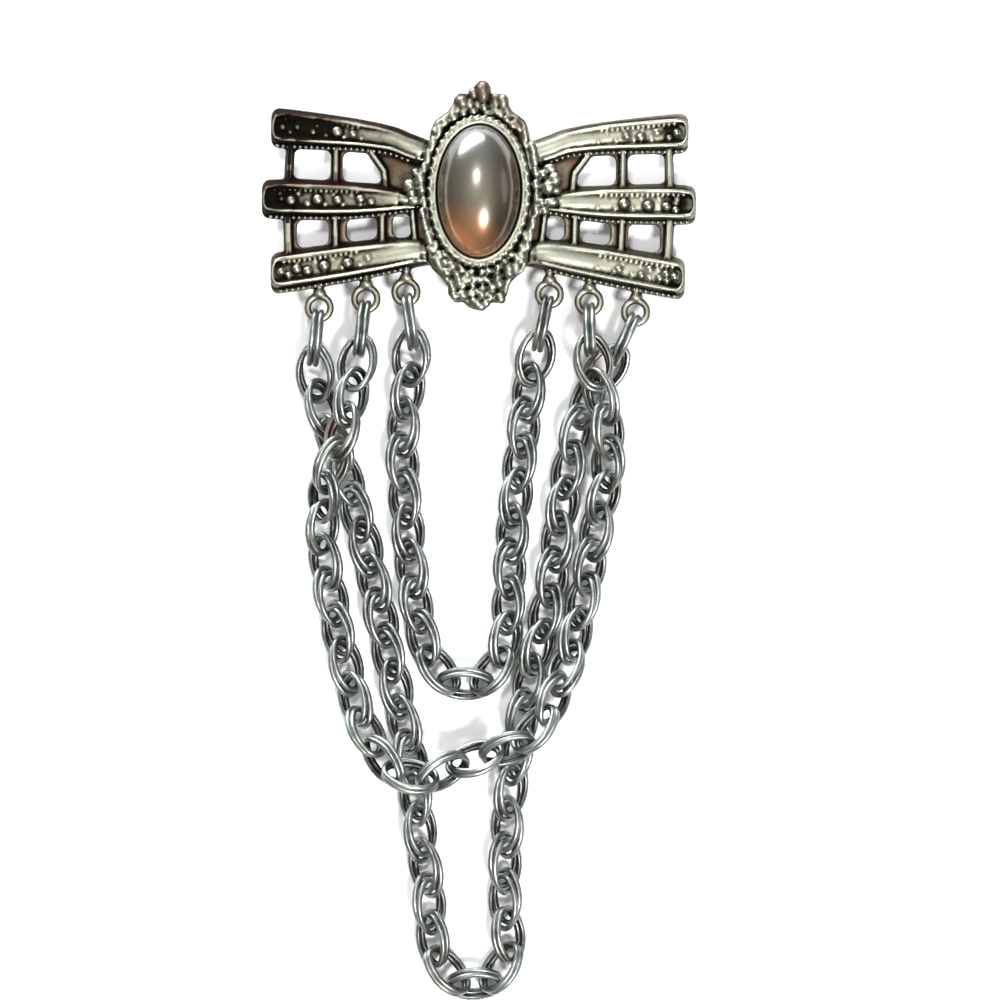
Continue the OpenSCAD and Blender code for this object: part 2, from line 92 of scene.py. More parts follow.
def ramp(tree, factor, stops):
    """A ramp through stops, each of them a place and a colour or a plain grey."""
    node = add(tree, "ValToRGB")
    elements = node.color_ramp.elements
    while len(elements) < len(stops):
        elements.new(0.5)
    for element, (place, colour) in zip(elements, stops):
        element.position = place
        element.color = (*colour, 1) if isinstance(colour, tuple) else (colour, colour, colour, 1)
    join(tree, (factor, node.inputs["Fac"]))
    return node.outputs["Color"]


def new_material(name):
    material = bpy.data.materials.new(name)
    material.use_nodes = True
    tree = material.node_tree
    shader = tree.nodes["Principled BSDF"]
    coords = add(tree, "TexCoord")
    mapping = add(tree, "Mapping", {"Scale": (MM, MM, MM)})
    join(tree, (coords.outputs["Object"], mapping.inputs["Vector"]))
    return material, tree, shader, mapping.outputs["Vector"]


def noise(tree, where, scale, detail=3.0, roughness=0.55):
    node = add(tree, "TexNoise", {"Scale": scale, "Detail": detail, "Roughness": roughness})
    join(tree, (where, node.inputs["Vector"]))
    return node.outputs["Fac"]


def math_node(tree, operation, *values):
    """A sum or a product, kept between 0 and 1."""
    node = add(tree, "Math", operation=operation, use_clamp=True)
    for socket, value in zip(node.inputs, values):
        if isinstance(value, (int, float)):
            socket.default_value = value
        else:
            join(tree, (value, socket))
    return node.outputs["Value"]


def mix_colour(tree, factor, a, b):
    """From a at factor 0 to b at factor 1. Both are colours or sockets."""
    node = add(tree, "Mix", data_type="RGBA")
    for socket, value in ((node.inputs["Factor"], factor), (node.inputs["A"], a), (node.inputs["B"], b)):
        if isinstance(value, tuple):
            socket.default_value = (*value, 1)
        else:
            join(tree, (value, socket))
    return node.outputs["Result"]


def away_from(tree, where, point, reach):
    """How far a place is from a point, as a share of the reach."""
    node = add(tree, "VectorMath", operation="DISTANCE")
    node.inputs[1].default_value = point
    join(tree, (where, node.inputs[0]))
    return math_node(tree, "DIVIDE", node.outputs["Value"], reach)


def bare_metal(tree, shader, colour, rough, height, strength, distance):
    """Join up a metal with its colour, its roughness and its small bumps."""
    bumps = add(tree, "Bump", {"Strength": strength, "Distance": distance})
    join(
        tree,
        (colour, shader.inputs["Base Color"]), (rough, shader.inputs["Roughness"]),
        (height, bumps.inputs["Height"]), (bumps.outputs["Normal"], shader.inputs["Normal"]),
    )
    shader.inputs["Metallic"].default_value = 1.0


# %% [markdown]
# ## The camera and the light
#
# The picture is 1000 pixels square, and a pixel is 0.12 mm on the jewel, so the view is 120 mm wide. A long lens
# from 62 cm keeps the tall pearl from leaning. Polished metal shows what is around it, so the room matters as
# much as the lamps. It is bright overhead and dark towards the horizon, which makes the tops shine and the flanks
# go black. Two small lamps draw the white lines along the wires and the spots on the pearl, two walls fill in from
# the far side and the right, and a faint orange wall at the front left warms the pearl's foot. The Standard view
# doesn't bend the tones, so the table comes out white.

# %% Camera and print
bpy.context.scene.view_settings.view_transform = "Standard"
VIEW_WIDTH = 0.120
VIEW_MIDDLE = (0.00252, 0.00498)
CAMERA_HEIGHT, SCALE_HEIGHT = 0.62, 0.004  # the view is exactly that wide at the scale height
SENSOR = 36
camera_data = bpy.data.cameras.new("camera")
camera_data.sensor_width = SENSOR
camera_data.lens = SENSOR * (CAMERA_HEIGHT - SCALE_HEIGHT) / VIEW_WIDTH
camera = bpy.data.objects.new("camera", camera_data)
camera.location = (*VIEW_MIDDLE, CAMERA_HEIGHT)
bpy.context.scene.collection.objects.link(camera)
bpy.context.scene.camera = camera
print("lens", round(camera_data.lens, 1), "mm")


# %% Lights
AIM = (0, 0.03, 0)


def panel(name, place, size, watts, colour=(1, 1, 1)):
    """An oval soft light that looks at the jewel."""
    light = bpy.data.lights.new(name, "AREA")
    light.shape = "ELLIPSE"
    light.size, light.size_y = size
    light.energy = watts
    light.color = colour
    obj = bpy.data.objects.new(name, light)
    obj.location = place
    obj.rotation_euler = (Vector(AIM) - Vector(place)).to_track_quat("-Z", "Y").to_euler()
    bpy.context.scene.collection.objects.link(obj)


# place, size and watts, and a colour where it isn't white
panel("key", (0.14, -0.24, 0.55), (0.12, 0.12), 4.6)
panel("top_fill", (-0.06, 0.22, 0.60), (0.09, 0.07), 1.7)
panel("far_wall", (-0.22, 0.66, 0.19), (0.80, 0.36), 11.5, (0.93, 0.98, 1.0))
panel("right_wall", (0.62, 0.12, 0.26), (0.36, 0.24), 0.22, (0.95, 0.98, 1.0))
panel("left_glow", (-0.34, -0.50, 0.14), (0.80, 0.45), 0.35, (1.0, 0.62, 0.38))


# %% Room
ROOM_LEVELS = ((0.0, 0.04), (0.5, 0.13), (0.78, 0.42), (0.92, 0.92), (1.0, 1.1))


def room():
    """Light that falls off from overhead, at 1, to the horizon, at 0, and is a little warm."""
    world = bpy.data.worlds.new("room")
    world.use_nodes = True
    tree = world.node_tree
    split = add(tree, "SeparateXYZ")
    join(tree, (add(tree, "TexCoord").outputs["Generated"], split.inputs["Vector"]))
    stops = [(height, (level, level * 0.985, level * 0.96)) for height, level in ROOM_LEVELS]
    join(tree, (ramp(tree, split.outputs["Z"], stops), tree.nodes["Background"].inputs["Color"]))
    bpy.context.scene.world = world


room()

# %% [markdown]
# ## Old cast silver
#
# Antiqued castings are dipped dark and then polished, so the tops shine and the hollows stay black. The relief is
# too fine to paint by hand. Each casting carries a measured attribute that is low on the crests and high in the
# hollows. It also holds painted shade on the steep flanks, over the left wing of the bow and in the setting's left
# groove, and the colour and the roughness follow it. A second attribute, `worn`, marks the places where the
# plating has rubbed through to the warm base metal. Down in the dark, both the yellow tint of the silver and the red
# of the base metal fade out, or the black would look brown.

# %% Its colours, from the crests to the hollows
SILVER_STOPS = [
    (0.10, (0.305, 0.310, 0.262)), (0.34, (0.218, 0.221, 0.178)), (0.52, (0.078, 0.074, 0.054)),
    (0.72, (0.005, 0.004, 0.003)),
]
SILVER_TINT = (0.145, 0.142, 0.095)
BASE_METAL, DARK_BASE_METAL = (0.150, 0.066, 0.044), (0.012, 0.005, 0.004)
SPECKLE = 0.44


# %% The cast silver
def cast_silver():
    material, tree, shader, where = new_material("cast_silver")
    # This attribute holds the patina of the hollows and also painted shade
    hollow_and_shade = add(tree, "Attribute", attribute_name="hollow_and_shade").outputs["Fac"]
    worn = add(tree, "Attribute", attribute_name="worn").outputs["Fac"]
    blotches = noise(tree, where, 0.55, detail=4.0)
    speckle = noise(tree, where, 3.2, detail=4.0, roughness=0.65)
    uneven = math_node(tree, "MULTIPLY_ADD", speckle, SPECKLE, -SPECKLE / 2)
    depth = math_node(tree, "ADD", hollow_and_shade, uneven)
    silver = ramp(tree, depth, SILVER_STOPS)
    clean = ramp(tree, depth, [(0.45, 0.45), (0.85, 0.03)])
    tinted = mix_colour(tree, math_node(tree, "MULTIPLY", blotches, clean), silver, SILVER_TINT)
    rubbed = math_node(tree, "MULTIPLY", worn, ramp(tree, blotches, [(0.36, 0.3), (0.58, 1)]))
    colour = mix_colour(tree, rubbed, tinted, mix_colour(tree, clean, DARK_BASE_METAL, BASE_METAL))
    rough = ramp(tree, depth, [(0.1, 0.38), (0.36, 0.46), (0.8, 0.75)])
    dents = noise(tree, where, 1.6, roughness=0.5)
    bare_metal(tree, shader, colour, rough, dents, strength=0.22, distance=0.00005)
    return material


CAST_SILVER = cast_silver()

# %% [markdown]
# ## Chain silver
#
# The drawn wire of the chains is cooler and brighter than the casting. A broad noise gives it cloudy tarnish and a
# fine one the small scratches of wear. The inner side of every ring is painted dark as shade, where the rings hide
# each other: the attribute `inner` says how far a point looks towards its ring's middle. Two crossings have a breath
# of rust.


# %% Its colours, and the crossings with rust, in millimetres
WIRE_STOPS = [(0.32, (0.13, 0.14, 0.13)), (0.52, (0.25, 0.27, 0.255)), (0.72, (0.36, 0.385, 0.365))]
# The first colour is painted shade for the inner side of the rings, the second a rust stain
WIRE_INNER_SHADE, RUST = (0.022, 0.023, 0.020), (0.13, 0.055, 0.032)
RUSTY_CROSSINGS = ((-16.9, 11.8, 5.0), (13.6, 21.0, 5.0))
RUST_REACH = 5.0


# %% The chain silver
def chain_silver():
    material, tree, shader, where = new_material("chain_silver")
    bright = ramp(tree, noise(tree, where, 0.45, detail=4.0), WIRE_STOPS)
    inner = add(tree, "Attribute", attribute_name="inner").outputs["Fac"]
    # Painted shade on the inner side of every ring, where the rings hide each other
    colour = mix_colour(tree, ramp(tree, inner, [(0.05, 0.0), (0.75, 0.92)]), bright, WIRE_INNER_SHADE)
    for crossing in RUSTY_CROSSINGS:
        rusty = ramp(tree, away_from(tree, where, crossing, RUST_REACH), [(0.2, 0.55), (0.7, 0.0)])
        colour = mix_colour(tree, rusty, colour, RUST)
    rough = ramp(tree, noise(tree, where, 5.0, roughness=0.7), [(0.3, 0.32), (0.7, 0.46)])
    bare_metal(tree, shader, colour, rough, noise(tree, where, 1.8), strength=0.12, distance=0.00004)
    return material


CHAIN_SILVER = chain_silver()

# %% [markdown]
# ## Imitation pearl
#
# The cabochon is coated in thin layers of pearl lacquer. Lacquer reflects softly and deep down, like a dull
# metal, and the last clear layer on top gives the sharp small highlights. So the shader is half metallic and
# rather rough, under a smooth coat. The colour drifts from a cool grey at the top, which is a painted reflection,
# through the lacquer's own brown-grey to a painted orange reflection at the foot. It darkens towards both sides as
# painted shade, and a painted orange reflection glows at the lower left.

# %% Its colours, from the foot to the top
# The orange at the foot and the cool grey at the top are painted reflections; the brown-grey between is the lacquer's
# own
PEARL_STOPS = [
    (0.00, (0.30, 0.14, 0.06)), (0.12, (0.17, 0.092, 0.050)), (0.27, (0.096, 0.072, 0.052)),
    (0.44, (0.122, 0.105, 0.074)), (0.72, (0.124, 0.118, 0.098)), (1.00, (0.19, 0.205, 0.205)),
]
# The side colour is painted shade, the silk colour the nacre's streaks, and the last one a painted orange reflection
PEARL_SIDE_SHADE, PEARL_SILK, PEARL_WARM_REFLECTION = (0.055, 0.030, 0.017), (0.165, 0.145, 0.11), (0.50, 0.22, 0.09)
WARM_REFLECTION_REACH = 6.0


# %% The pearl's lustre
def pearl_lustre(box):
    material, tree, shader, where = new_material("pearl_lustre")
    low, high = box
    split = add(tree, "SeparateXYZ")
    join(tree, (where, split.inputs["Vector"]))
    along = add(tree, "MapRange", {"From Min": low.y * MM, "From Max": high.y * MM})
    across = add(tree, "MapRange", {"From Min": low.x * MM, "From Max": high.x * MM})
    join(tree, (split.outputs["Y"], along.inputs["Value"]), (split.outputs["X"], across.inputs["Value"]))
    drift = ramp(tree, along.outputs["Result"], PEARL_STOPS)
    # Painted shade towards both sides of the pearl
    side_shade = ramp(tree, across.outputs["Result"], [(0.0, 0.5), (0.36, 0.0), (0.58, 0.0), (0.95, 0.95)])
    side_shaded = mix_colour(tree, side_shade, drift, PEARL_SIDE_SHADE)
    streaks = add(tree, "Mapping", {"Scale": (1.4, 0.25, 1.0)})
    join(tree, (where, streaks.inputs["Vector"]))
    silk = ramp(tree, noise(tree, streaks.outputs["Vector"], 0.8), [(0.35, 0.0), (0.75, 0.35)])
    silky = mix_colour(tree, silk, side_shaded, PEARL_SILK)
    # A painted orange reflection at the lower left
    lower_left = (low.x * MM + 2.9, low.y * MM + 1.9, high.z * MM - 2.0)
    warm_reflection = ramp(tree, away_from(tree, where, lower_left, WARM_REFLECTION_REACH), [(0.1, 0.85), (0.85, 0.0)])
    join(tree, (mix_colour(tree, warm_reflection, silky, PEARL_WARM_REFLECTION), shader.inputs["Base Color"]))
    for name, value in (("Metallic", 0.65), ("Roughness", 0.24), ("Coat Weight", 1.0), ("Coat Roughness", 0.11)):
        shader.inputs[name].default_value = value
    return material


PEARL_LUSTRE = pearl_lustre(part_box("pearl"))

# %% [markdown]
# ## From a shape in millimetres to a piece of the jewel
#
# Every piece ends the same way: a mesh in millimetres is taken to its place in metres, gets its material, and
# is hung on the body that carries it, while the imported solid it stands for is hidden.


# %% Measures on a mesh
def read_vectors(mesh, name):
    """A row for each point: "co" gives the places and "normal" the normals."""
    values = np.empty(len(mesh.vertices) * 3)
    mesh.vertices.foreach_get(name, values)
    return values.reshape(-1, 3)


def mark(mesh, name, values):
    """Write a measure on the points, where the materials can read it."""
    mesh.attributes.new(name, "FLOAT", "POINT").data.foreach_set("value", np.clip(values, 0, 1).astype(np.float32))


def ease(values, start, end):
    """0 up to the start, 1 from the end on, and even steps between."""
    return np.clip((values - start) / (end - start), 0, 1)


# %% Finishing a piece
def finish_piece(name, mesh, place, material, node):
    mesh.transform(place)
    for polygon in mesh.polygons:
        polygon.use_smooth = True
    mesh.materials.clear()
    mesh.materials.append(material)
    piece = bpy.data.objects.new(name, mesh)
    bpy.context.scene.collection.objects.link(piece)
    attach(piece, "root")
    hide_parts(node)
    mesh.calc_loop_triangles()
    print(name, len(mesh.loop_triangles), "triangles")


# %% [markdown]
# ## The chains
#
# A link is two oval rings side by side, and the next link's rings pass through both. Each ring is drawn wire, so
# it is best made as wire: a small circle is spun about four centres in turn, two for the tight ends and two for
# the long sides, and the last circle meets the first. The lines between the centres make 3-4-5 triangles, which
# gives the angles of the spins.

# %% One oval ring of wire
WIRE_D, RING_LEN, RING_W = 0.62, 7.0, 4.8
DRAWN_D = 0.70  # the solids' wire is thinner, which keeps their rings apart


def oval_ring():
    part = (RING_LEN - RING_W) / 4  # the triangles' sides are 3, 4 and 5 of these
    end_x, side_y = 3 * part, 4 * part
    end_r = (RING_LEN - WIRE_D) / 2 - end_x
    end_angle = 2 * math.atan2(4, 3)
    bm = bmesh.new()
    turned = Matrix.Translation((end_x, 0, 0)) @ Matrix.Rotation(-end_angle / 2, 4, "Z")
    start = turned @ Matrix.Translation((end_r, 0, 0)) @ Matrix.Rotation(math.pi / 2, 4, "X")
    bmesh.ops.create_circle(bm, segments=12, radius=DRAWN_D / 2, matrix=start)
    edge = bm.edges[:]
    for centre, angle, steps in (
        ((end_x, 0, 0), end_angle, 11), ((0, -side_y, 0), math.pi - end_angle, 6),
        ((-end_x, 0, 0), end_angle, 11), ((0, side_y, 0), math.pi - end_angle, 6),
    ):
        spun = bmesh.ops.spin(
            bm, geom=edge, cent=centre, axis=(0, 0, 1), angle=angle, steps=steps, use_merge=False, use_duplicate=False,
        )
        edge = [g for g in spun["geom_last"] if isinstance(g, bmesh.types.BMEdge)]
    bmesh.ops.remove_doubles(bm, verts=bm.verts, dist=0.01)
    bmesh.ops.recalc_face_normals(bm, faces=bm.faces)
    mesh = bpy.data.meshes.new("oval_ring")
    bm.to_mesh(mesh)
    bm.free()
    return mesh


OVAL_RING = oval_ring()
ring_co = read_vectors(OVAL_RING, "co")
# 1 where a point of the ring looks straight at the ring's middle
RING_INNER = -(read_vectors(OVAL_RING, "normal") * ring_co).sum(1) / np.linalg.norm(ring_co, axis=1)
print("one ring:", len(OVAL_RING.polygons), "faces")

# %% [markdown]
# ### Where each ring lies
#
# The chains' middle lines are the same points as the solids', in millimetres. A smooth curve goes
# through the points, equal steps along it are the joints between links, and each link lies half over to one
# side, its neighbour to the other, as such a chain does on a table. The last link at each end stands upright, because
# it passes through a loop that lies flat, and the next two turn over step by step.

# %% The chains' middle lines
LIE, OVER = 2.12, 6.5  # heights of a chain on the table and of one that crosses another
ROUTES = {
    # where the loop is, and the points between the two loops
    "inner_chain": (8.6, -12.1, [
        (-8.0, 24.4, 3.1), (-8.3, 20.0, 2.3), (-9.0, 15.0, LIE), (-9.3, 10.0, LIE), (-8.9, 5.0, LIE), (-8.3, -1.0, LIE),
        (-7.7, -7.0, LIE), (-6.6, -12.4, LIE), (-4.8, -16.2, LIE), (-1.4, -17.7, LIE), (2.2, -15.6, LIE),
        (3.4, -10.6, LIE), (3.6, -4.0, LIE), (4.1, 2.0, LIE), (4.7, 8.0, LIE), (5.4, 14.0, LIE), (6.2, 19.5, 2.3),
        (7.3, 24.6, 3.1),
    ]),
    "middle_chain": (13.4, -12.95, [
        (-14.3, 23.6, 4.3), (-15.1, 18.0, 5.6), (-16.4, 12.6, OVER), (-18.1, 8.0, 6.4), (-18.9, 3.6, 3.6),
        (-18.7, -1.0, LIE), (-17.4, -9.0, LIE), (-15.6, -16.6, LIE), (-13.4, -23.4, 4.6), (-10.9, -27.0, OVER),
        (-7.6, -28.7, OVER), (-4.8, -27.8, OVER), (-1.4, -26.0, 5.4), (2.6, -25.2, 6.3), (6.2, -23.4, OVER),
        (8.8, -19.2, 5.9), (11.0, -13.8, 3.4), (12.3, -8.0, LIE), (13.7, -1.0, LIE), (14.9, 5.0, 2.4),
        (15.7, 11.0, 4.8), (14.9, 16.4, OVER), (13.8, 20.4, OVER), (13.2, 24.2, 5.6),
    ]),
    "long_chain": (19.0, -14.1, [
        (-19.9, 22.4, 3.0), (-19.3, 17.0, 2.3), (-17.2, 11.4, LIE), (-15.2, 5.0, LIE), (-12.9, -3.4, LIE),
        (-11.3, -12.0, LIE), (-9.4, -20.0, LIE), (-8.0, -27.6, LIE), (-7.1, -35.0, LIE), (-6.0, -42.0, LIE),
        (-5.4, -49.7, LIE), (-0.7, -54.1, LIE), (3.7, -50.0, LIE), (3.0, -43.2, LIE), (3.4, -34.0, LIE),
        (4.4, -25.8, LIE), (5.9, -17.6, LIE), (7.9, -9.4, LIE), (9.5, 0.2, LIE), (10.9, 9.8, LIE), (12.7, 16.4, LIE),
        (15.2, 21.0, 2.3), (17.4, 23.4, 2.9),
    ]),
}
LOOPS = [route[:2] for route in ROUTES.values()]
LOOP_Z, HOOK = 0.7, 1.5


# %% Curves and directions
def smooth_rows(rows, steps):
    """Rows on the smooth curve through the given rows."""
    rows = np.array(rows, float)
    out = []
    for i in range(len(rows) - 1):
        a, b, c, d = rows[max(i - 1, 0)], rows[i], rows[i + 1], rows[min(i + 2, len(rows) - 1)]
        square, cube = 2 * a - 5 * b + 4 * c - d, 3 * b - a - 3 * c + d
        for u in np.arange(steps) / steps:
            out.append(0.5 * (2 * b + (c - a) * u + square * u**2 + cube * u**3))
    return np.array(out + [rows[-1]])


def unit(v):
    return v / np.linalg.norm(v)


# %% Frames of the rings
PITCH, PAIR_GAP, STAGGER = 4.3, 0.74, 0.8
LEAN, RISE, SHARP = 45, 22.5, 45  # degrees
CURVE_STEPS = 12
UNDER_ONE = 0.9999  # keeps rounding from taking a cosine past 1


def loop_middle(side, x, y):
    turn = math.radians(BOW_TURN)
    x *= side
    return np.array([
        x * math.cos(turn) + y * math.sin(turn), y * math.cos(turn) - x * math.sin(turn) + BOW_MIDDLE[1],
        BOW_MIDDLE[2] + LOOP_Z,
    ])


def hooked(loop, towards):
    return loop + unit((np.array(towards) - loop) * (1, 1, 0)) * HOOK


def ring_frames(loop_x, loop_y, points):
    """The places of all rings of a chain, two for each link."""
    left, right = loop_middle(-1, loop_x, loop_y), loop_middle(1, loop_x, loop_y)
    line = smooth_rows([hooked(left, points[0]), *points, hooked(right, points[-1])], CURVE_STEPS)
    run = np.concatenate([[0], np.cumsum(np.linalg.norm(np.diff(line, axis=0), axis=1))])
    count = 2 * int(run[-1] / PITCH / 2) + 1
    joints = np.array([[np.interp(run[-1] * k / count, run, line[:, i]) for i in range(3)] for k in range(count + 1)])
    ways = [unit(step) for step in np.diff(joints, axis=0)]
    for k, way in enumerate(ways):
        side = unit(np.cross((0, 0, 1), way))
        up = np.cross(way, side)
        roll = -max(LEAN - RISE * min(k, count - 1 - k), 0)
        lean = math.radians(LEAN + roll + 90 * (k % 2))
        normal = side * math.cos(lean) + up * math.sin(lean)
        beside = (ways[max(k - 1, 0)], ways[min(k + 1, count - 1)])
        sharpest = max(math.degrees(math.acos(way @ other * UNDER_ONE)) for other in beside)
        slide = STAGGER / 2 * math.cos(math.radians(2 * roll)) * (1 - min(sharpest / SHARP, 1))
        slide *= 1 if k % 4 < 2 else -1
        for half in (-1, 1):
            middle = (joints[k] + joints[k + 1]) / 2 + normal * half * PAIR_GAP / 2 + way * half * slide
            columns = [way, np.cross(normal, way), normal, middle]
            yield Matrix([[*(c[i] for c in columns)] for i in range(3)] + [[0, 0, 0, 1]])


def make_chain(name):
    bm = bmesh.new()
    for place in ring_frames(*ROUTES[name]):
        before = len(bm.verts)
        bm.from_mesh(OVAL_RING)
        bm.verts.ensure_lookup_table()
        bmesh.ops.transform(bm, matrix=place, verts=bm.verts[before:])
    mesh = bpy.data.meshes.new(name + "_rings")
    bm.to_mesh(mesh)
    bm.free()
    mark(mesh, "inner", np.tile(RING_INNER, len(mesh.vertices) // len(RING_INNER)))
    finish_piece(name + "_rings", mesh, TO_METRES, CHAIN_SILVER, name)


for chain_name in ROUTES:
    make_chain(chain_name)

# %% [markdown]
# ## The cast metal: one skin over many shapes
#
# A real casting has no sharp inside corners, because wax and metal flow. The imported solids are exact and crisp,
# so each casting is made again as a foundry would: the main form and all the small relief are laid into each
# other, and a voxel remesh pours one skin over them. A little smoothing then rounds the skin. Balls and wires may
# simply overlap, which makes the small relief quick to place.


# %% Laying shapes into a casting
SAME_PLACE = 0.000001  # a micrometre


def start_casting(node):
    """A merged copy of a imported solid, in millimetres about the middle of the bow's back."""
    bm = bmesh.new()
    bm.from_mesh(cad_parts[node].data)
    bmesh.ops.remove_doubles(bm, verts=bm.verts, dist=SAME_PLACE)
    bmesh.ops.transform(bm, matrix=BOW_PLACE.inverted(), verts=bm.verts)
    return bm


def ball(bm, place, radii, turn=0.0, detail=2):
    matrix = Matrix.Translation(place) @ Matrix.Rotation(turn, 4, "Z") @ Matrix.Diagonal((*radii, 1))
    bmesh.ops.create_icosphere(bm, subdivisions=detail, radius=1, matrix=matrix)


def wire(bm, points, radius, segments=8):
    """A round wire along points, from an end circle that is extruded step by step. It has one radius or many."""
    points = [Vector(p) for p in points]
    radii = radius if isinstance(radius, list) else [radius] * len(points)
    way = (points[1] - points[0]).normalized()
    turn = Vector((0, 0, 1)).rotation_difference(way).to_matrix().to_4x4()
    made = bmesh.ops.create_circle(
        bm, cap_ends=True, segments=segments, radius=radii[0], matrix=Matrix.Translation(points[0]) @ turn,
    )
    edges = list({e for v in made["verts"] for f in v.link_faces for e in f.edges})
    for i in range(1, len(points)):
        ahead = (points[min(i + 1, len(points) - 1)] - points[i - 1]).normalized()
        out = bmesh.ops.extrude_edge_only(bm, edges=edges)["geom"]
        ring = [g for g in out if isinstance(g, bmesh.types.BMVert)]
        edges = [g for g in out if isinstance(g, bmesh.types.BMEdge) and all(v in ring for v in g.verts)]
        bmesh.ops.translate(bm, vec=points[i] - points[i - 1], verts=ring)
        bmesh.ops.rotate(bm, cent=points[i], matrix=way.rotation_difference(ahead).to_matrix(), verts=ring)
        grow = radii[i] / radii[i - 1]
        bmesh.ops.scale(bm, vec=(grow, grow, grow), space=Matrix.Translation(-points[i]), verts=ring)
        way = ahead
    bmesh.ops.contextual_create(bm, geom=edges)


# %% [markdown]
# ### Pouring the skin and measuring its hollows
#
# If a skin is smoothed a lot, its hollows rise and its crests sink. How far each point moves along its normal
# says how deep in a hollow it lies. Few rounds of smoothing find the gaps between beads, and many rounds find the
# broad floors of the ribs.


# %% Skin and hollows
def hollow_of(mesh, rounds):
    """How far each point rises when the skin is smoothed, in millimetres."""
    co, normal = read_vectors(mesh, "co"), read_vectors(mesh, "normal")
    count = len(co)
    ends = np.empty(len(mesh.edges) * 2, int)
    mesh.edges.foreach_get("vertices", ends)
    a, b = ends.reshape(-1, 2).T
    near = np.bincount(a, minlength=count) + np.bincount(b, minlength=count)
    moved = co.copy()
    for _ in range(rounds):
        total = [np.bincount(a, moved[b, i], count) + np.bincount(b, moved[a, i], count) for i in range(3)]
        moved = (np.array(total) / near).T * 0.5 + moved * 0.5
    return ((moved - co) * normal).sum(1)


def pour(name, bm, voxel, rounds):
    """One rounded skin over all the shapes, with a voxel in millimetres and rounds of smoothing."""
    rough = bpy.data.meshes.new(name + "_rough")
    bm.to_mesh(rough)
    bm.free()
    block = bpy.data.objects.new(name + "_block", rough)
    bpy.context.scene.collection.objects.link(block)
    skin = block.modifiers.new("skin", "REMESH")
    skin.mode, skin.voxel_size = "VOXEL", voxel
    soften = block.modifiers.new("soften", "SMOOTH")
    soften.factor, soften.iterations = 0.5, rounds
    mesh = bpy.data.meshes.new_from_object(block.evaluated_get(bpy.context.evaluated_depsgraph_get()))
    bpy.data.objects.remove(block)
    bpy.data.meshes.remove(rough)
    return mesh


# %% [markdown]
# ## The bow
#
# Each wing has three ribs. The inner half of a rib has a smooth round back. Further out it is a shallow trough
# between two rims that meet round its outer end. Granules sit on the trough's floor, a milled line of tiny grains
# follows the upper rim, and a string of small beads hangs along the flank under the lower one.

# %% The ribs by rows: x, upper edge, lower edge, share of the full height
RIBS = {
    "top": [
        (5.2, 6.0, 3.4, 0.80), (6.6, 6.3, 3.0, 0.92), (8.8, 7.1, 3.6, 1.0), (10.8, 7.9, 4.3, 1.0),
        (14.4, 8.6, 4.7, 1.0), (18.0, 9.1, 4.8, 1.0), (22.0, 9.6, 4.9, 0.96), (24.2, 9.8, 5.0, 0.88),
    ],
    "middle": [
        (5.6, -0.2, -2.2, 0.80), (7.0, -0.2, -2.3, 0.90), (8.8, 0.0, -2.5, 0.96), (10.8, 0.5, -2.9, 1.0),
        (14.4, 1.0, -3.4, 1.0), (18.0, 1.2, -3.6, 1.0), (22.5, 1.3, -3.6, 0.96), (25.2, 1.2, -3.5, 0.88),
    ],
    "bottom": [
        (5.2, -6.2, -8.8, 0.80), (6.6, -5.8, -8.9, 0.90), (8.4, -5.5, -9.4, 0.98), (10.8, -5.7, -10.0, 1.0),
        (14.4, -6.1, -10.8, 1.0), (18.0, -6.6, -11.5, 1.0), (22.0, -7.2, -12.2, 0.96), (24.0, -7.5, -12.5, 0.88),
    ],
}
RIB_HEIGHT = 2.3


class Rib:
    def __init__(self, rows):
        self.rows = smooth_rows(rows, 8)
        self.end = rows[-1][0]

    def width(self, x):
        return float(np.interp(x, self.rows[:, 0], self.rows[:, 1] - self.rows[:, 2]))

    def at(self, x, across, up):
        """A point at x, a share of the way from the lower edge to the upper one, and a share of the height."""
        upper, lower, rise = (np.interp(x, self.rows[:, 0], self.rows[:, i]) for i in (1, 2, 3))
        return (x, lower + (upper - lower) * across, RIB_HEIGHT * rise * up)


ribs = {name: Rib(rows) for name, rows in RIBS.items()}

# %% [markdown]
# ### Rims, beads and granules
#
# The relief is placed with the rib's own measures, so a bead row follows its rib however it curves. Places across
# a rib and up its height are shares of its width and height there. The rims are wires, and the rest are balls and
# stretched balls.

# %% Places and sizes of a rib's relief
LOWER_RIM, UPPER_RIM, RIM_R = (0.20, 0.95), (0.83, 0.86), 0.22
RIM_START, RIM_END, RIM_STEP = 7.6, 0.2, 0.7
TROUGH_START, LEVEL_START, RIM_SINK = 13.2, 15.5, 0.06
LAP = ((0.25, 0.24, 0.92), (0.55, 0.36, 0.84), (0.62, 0.52, 0.82), (0.52, 0.68, 0.82), (0.25, 0.79, 0.86))
DOME_START = {"top": 6.9, "middle": 9.4, "bottom": 6.8}
DOME_END, DOME_STEP, DOME_ACROSS, DOME_SHARE, DOME_FLOOR = 0.8, 0.5, 0.52, 0.47, 0.5
CREST_AT, CREST = (8.0, 14.5, 21.4, 23.2), (1.06, 0.87, 0.86, 0.70)
GRAIN, GRAIN_START, GRAIN_STEP, GRAIN_PLACE = (0.21, 0.20, 0.20), TROUGH_START + 1.4, 0.62, (0.72, 0.80)
PEBBLE, PEBBLE_START, PEBBLE_STEP, PEBBLE_UP = (0.42, 0.40, 0.36), 14.2, 1.06, 0.74
BEAD_R, BEAD_START, BEAD_STEP, BEAD_PLACE = 0.31, 8.6, 0.68, (0.055, 0.55)
LOOP_R, LOOP_WIRE_R, LOOP_STEM = 1.38, 0.45, (0.85, 0.62, 0.6)
GRANULE_UP, GRANULE_LONG, GRANULE_WIDE, GRANULE_HIGH = 0.80, 1.35, 1.3, 1.05
